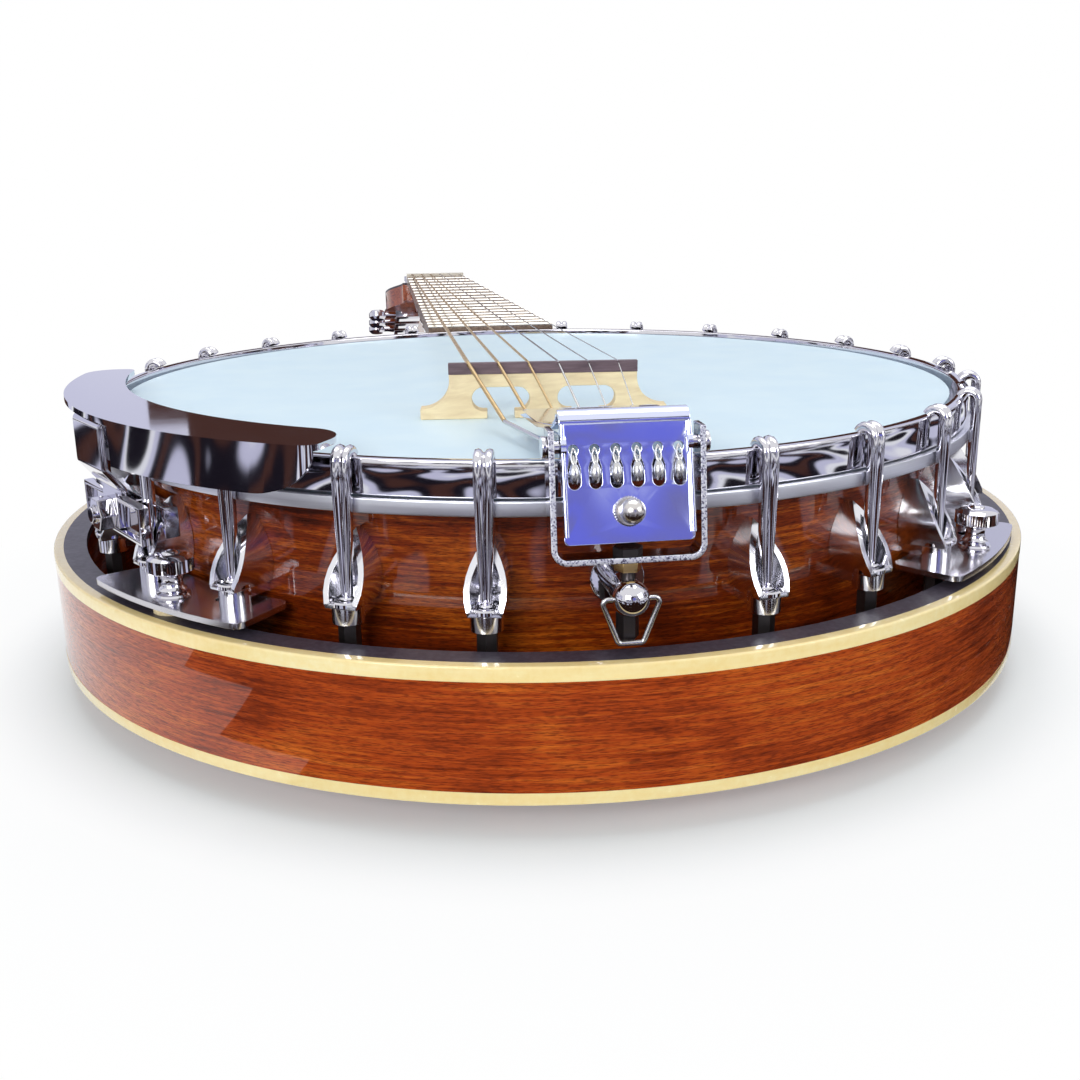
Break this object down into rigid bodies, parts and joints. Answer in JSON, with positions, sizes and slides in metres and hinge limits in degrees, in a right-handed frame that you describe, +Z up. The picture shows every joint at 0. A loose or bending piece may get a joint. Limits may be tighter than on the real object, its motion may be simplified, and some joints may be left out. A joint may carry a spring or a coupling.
{
  "type": "guitar banjo",
  "caption": "Fretted plucked string instrument with a round membrane head in a bracketed pot, bowl resonator, armrest, keyhole tailpiece and a long neck with geared tuners.",
  "frame": {"origin": "on the pot's axis, at the lowest plane of the resonator's back", "axes": "+Z up through the head, +Y along the neck to the headstock, +X to the treble side; the armrest is at -X"},
  "size_m": [0.3308, 0.8888, 0.1057],
  "materials": {
    "aluminium": "satin",
    "black_plastic": "gloss",
    "bone": "satin",
    "brass": "satin",
    "chrome": "polished",
    "cream_plastic": "gloss",
    "dark_steel": "satin",
    "ebony": "satin",
    "head_film": "satin",
    "mahogany": "gloss",
    "maple": "satin",
    "nickel": "satin",
    "pearl": "gloss",
    "plain_steel": "polished",
    "rosewood": "satin"
  },
  "bodies": {
    "banjo": {"armrest_bolt_and_nut": "chrome", "armrest_clamp": "chrome", "armrest_jaw": "chrome", "armrest_plate": "chrome", "armrest_strap": "chrome", "bindings": "cream_plastic", "bracket_hooks": "chrome", "bracket_plates": "chrome", "bracket_shoes": "chrome", "brass_nut": "brass", "bridge_base": "maple", "bridge_cap": "ebony", "coordinator_rod": "dark_steel", "fingerboard": "rosewood", "flesh_hoop": "aluminium", "frets": "nickel", "hanger_screw_and_nuts": "dark_steel", "head_skin": "head_film", "headstock_overlay": "black_plastic", "hook_nuts": "dark_steel", "neck": "mahogany", "plain_strings": "plain_steel", "position_dots": "pearl", "resonator_back": "mahogany", "resonator_lip": "black_plastic", "resonator_lugs": "maple", "resonator_wall": "mahogany", "rim": "mahogany", "rod_bolts": "chrome", "string_nut": "bone", "tail_cup": "chrome", "tailpiece_pins": "chrome", "tailpiece_stirrup": "chrome", "tension_hoop": "chrome", "tone_ring": "brass", "truss_cover": "black_plastic", "truss_rod": "dark_steel", "tuner_bushes": "chrome", "tuner_cases": "chrome", "wound_strings": "nickel"},
    "tailpiece": {"tailpiece_plate": "chrome", "string_tails": "plain_steel"},
    "tailpiece_press_screw": {"tailpiece_press_screw": "chrome"},
    "strap_ring": {"strap_ring": "plain_steel"},
    "thumb_screw_tail_treble": {"thumb_screw_tail_treble": "chrome"},
    "thumb_screw_neck_treble": {"thumb_screw_neck_treble": "chrome"},
    "thumb_screw_neck_bass": {"thumb_screw_neck_bass": "chrome"},
    "thumb_screw_tail_bass": {"thumb_screw_tail_bass": "chrome"},
    "tuner_button_1": {"tuner_button_1": "chrome"},
    "tuner_post_1": {"tuner_post_1": "chrome"},
    "tuner_button_2": {"tuner_button_2": "chrome"},
    "tuner_post_2": {"tuner_post_2": "chrome"},
    "tuner_button_3": {"tuner_button_3": "chrome"},
    "tuner_post_3": {"tuner_post_3": "chrome"},
    "tuner_button_4": {"tuner_button_4": "chrome"},
    "tuner_post_4": {"tuner_post_4": "chrome"},
    "tuner_button_5": {"tuner_button_5": "chrome"},
    "tuner_post_5": {"tuner_post_5": "chrome"},
    "tuner_button_6": {"tuner_button_6": "chrome"},
    "tuner_post_6": {"tuner_post_6": "chrome"}
  },
  "joints": [
    {"name": "tailpiece_tilt", "type": "hinge", "parent": "banjo", "child": "tailpiece", "pos_m": [0, -0.1504, 0.0952], "axis": [1, 0, 0], "range_deg": [0, 3]},
    {"name": "press_screw_turn", "type": "hinge", "parent": "tailpiece", "child": "tailpiece_press_screw", "pos_m": [0, -0.15471, 0.07948], "axis": [0, -0.9681, 0.2504], "continuous": true},
    {"name": "strap_ring_swing", "type": "hinge", "parent": "banjo", "child": "strap_ring", "pos_m": [0, -0.1582, 0.0592], "axis": [1, 0, 0], "range_deg": [-80, 0]},
    {"name": "thumb_screw_tail_treble_turn", "type": "hinge", "parent": "banjo", "child": "thumb_screw_tail_treble", "pos_m": [0.11753, -0.10105, 0.0476], "axis": [0, 0, 1], "continuous": true},
    {"name": "thumb_screw_neck_treble_turn", "type": "hinge", "parent": "banjo", "child": "thumb_screw_neck_treble", "pos_m": [0.11448, 0.10449, 0.0476], "axis": [0, 0, 1], "continuous": true},
    {"name": "thumb_screw_neck_bass_turn", "type": "hinge", "parent": "banjo", "child": "thumb_screw_neck_bass", "pos_m": [-0.11753, 0.10105, 0.0476], "axis": [0, 0, 1], "continuous": true},
    {"name": "thumb_screw_tail_bass_turn", "type": "hinge", "parent": "banjo", "child": "thumb_screw_tail_bass", "pos_m": [-0.11448, -0.10449, 0.0476], "axis": [0, 0, 1], "continuous": true},
    {"name": "tuner_button_1_turn", "type": "hinge", "parent": "banjo", "child": "tuner_button_1", "pos_m": [-0.02, 0.58871, 0.05665], "axis": [-1, 0, 0], "continuous": true},
    {"name": "tuner_post_1_turn", "type": "hinge", "parent": "banjo", "child": "tuner_post_1", "pos_m": [-0.02, 0.58871, 0.05665], "axis": [0, 0.2495, 0.9684], "continuous": true},
    {"name": "tuner_button_2_turn", "type": "hinge", "parent": "banjo", "child": "tuner_button_2", "pos_m": [-0.02, 0.62551, 0.04717], "axis": [-1, 0, 0], "continuous": true},
    {"name": "tuner_post_2_turn", "type": "hinge", "parent": "banjo", "child": "tuner_post_2", "pos_m": [-0.02, 0.62551, 0.04717], "axis": [0, 0.2495, 0.9684], "continuous": true},
    {"name": "tuner_button_3_turn", "type": "hinge", "parent": "banjo", "child": "tuner_button_3", "pos_m": [-0.02, 0.6623, 0.03768], "axis": [-1, 0, 0], "continuous": true},
    {"name": "tuner_post_3_turn", "type": "hinge", "parent": "banjo", "child": "tuner_post_3", "pos_m": [-0.02, 0.6623, 0.03768], "axis": [0, 0.2495, 0.9684], "continuous": true},
    {"name": "tuner_button_4_turn", "type": "hinge", "parent": "banjo", "child": "tuner_button_4", "pos_m": [0.02, 0.58871, 0.05665], "axis": [1, 0, 0], "continuous": true},
    {"name": "tuner_post_4_turn", "type": "hinge", "parent": "banjo", "child": "tuner_post_4", "pos_m": [0.02, 0.58871, 0.05665], "axis": [0, 0.2495, 0.9684], "continuous": true},
    {"name": "tuner_button_5_turn", "type": "hinge", "parent": "banjo", "child": "tuner_button_5", "pos_m": [0.02, 0.62551, 0.04717], "axis": [1, 0, 0], "continuous": true},
    {"name": "tuner_post_5_turn", "type": "hinge", "parent": "banjo", "child": "tuner_post_5", "pos_m": [0.02, 0.62551, 0.04717], "axis": [0, 0.2495, 0.9684], "continuous": true},
    {"name": "tuner_button_6_turn", "type": "hinge", "parent": "banjo", "child": "tuner_button_6", "pos_m": [0.02, 0.6623, 0.03768], "axis": [1, 0, 0], "continuous": true},
    {"name": "tuner_post_6_turn", "type": "hinge", "parent": "banjo", "child": "tuner_post_6", "pos_m": [0.02, 0.6623, 0.03768], "axis": [0, 0.2495, 0.9684], "continuous": true}
  ],
  "couplings": [
    {"joint": "tuner_post_1_turn", "follows": "tuner_button_1_turn", "ratio": -0.066667},
    {"joint": "tuner_post_2_turn", "follows": "tuner_button_2_turn", "ratio": -0.066667},
    {"joint": "tuner_post_3_turn", "follows": "tuner_button_3_turn", "ratio": -0.066667},
    {"joint": "tuner_post_4_turn", "follows": "tuner_button_4_turn", "ratio": 0.066667},
    {"joint": "tuner_post_5_turn", "follows": "tuner_button_5_turn", "ratio": 0.066667},
    {"joint": "tuner_post_6_turn", "follows": "tuner_button_6_turn", "ratio": 0.066667}
  ]
}
